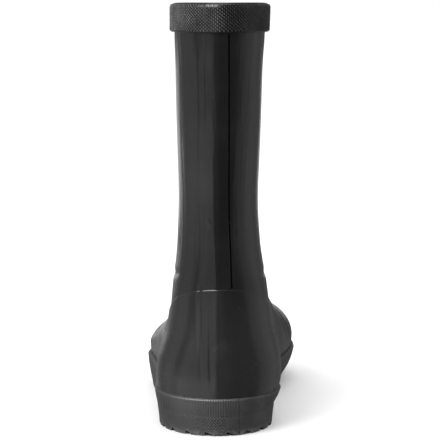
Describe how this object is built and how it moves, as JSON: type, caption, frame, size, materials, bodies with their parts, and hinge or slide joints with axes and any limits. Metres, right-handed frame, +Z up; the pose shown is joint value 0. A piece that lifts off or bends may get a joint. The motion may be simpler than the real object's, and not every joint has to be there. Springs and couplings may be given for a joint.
{
  "type": "rubber boot",
  "caption": "Black mid-calf rubber boot for the left foot, with a beaded collar band, back stay, heel counter, foxing strip and lugged outsole.",
  "frame": {"origin": "middle of the boot's box in plan, on the floor under the sole", "axes": "+Z up, +Y from the heel to the toe, +X towards the inner side of the foot"},
  "size_m": [0.0984, 0.2642, 0.2584],
  "materials": {
    "gloss_rubber": "semi-gloss",
    "band_rubber": "beaded satin",
    "sole_rubber": "matt",
    "lining": "matt knit"
  },
  "bodies": {
    "root": {"upper": "gloss_rubber", "collar_band": "band_rubber", "back_stay": "gloss_rubber", "heel_counter": "gloss_rubber", "foxing": "sole_rubber", "outsole": "sole_rubber", "insole": "lining"}
  },
  "joints": []
}
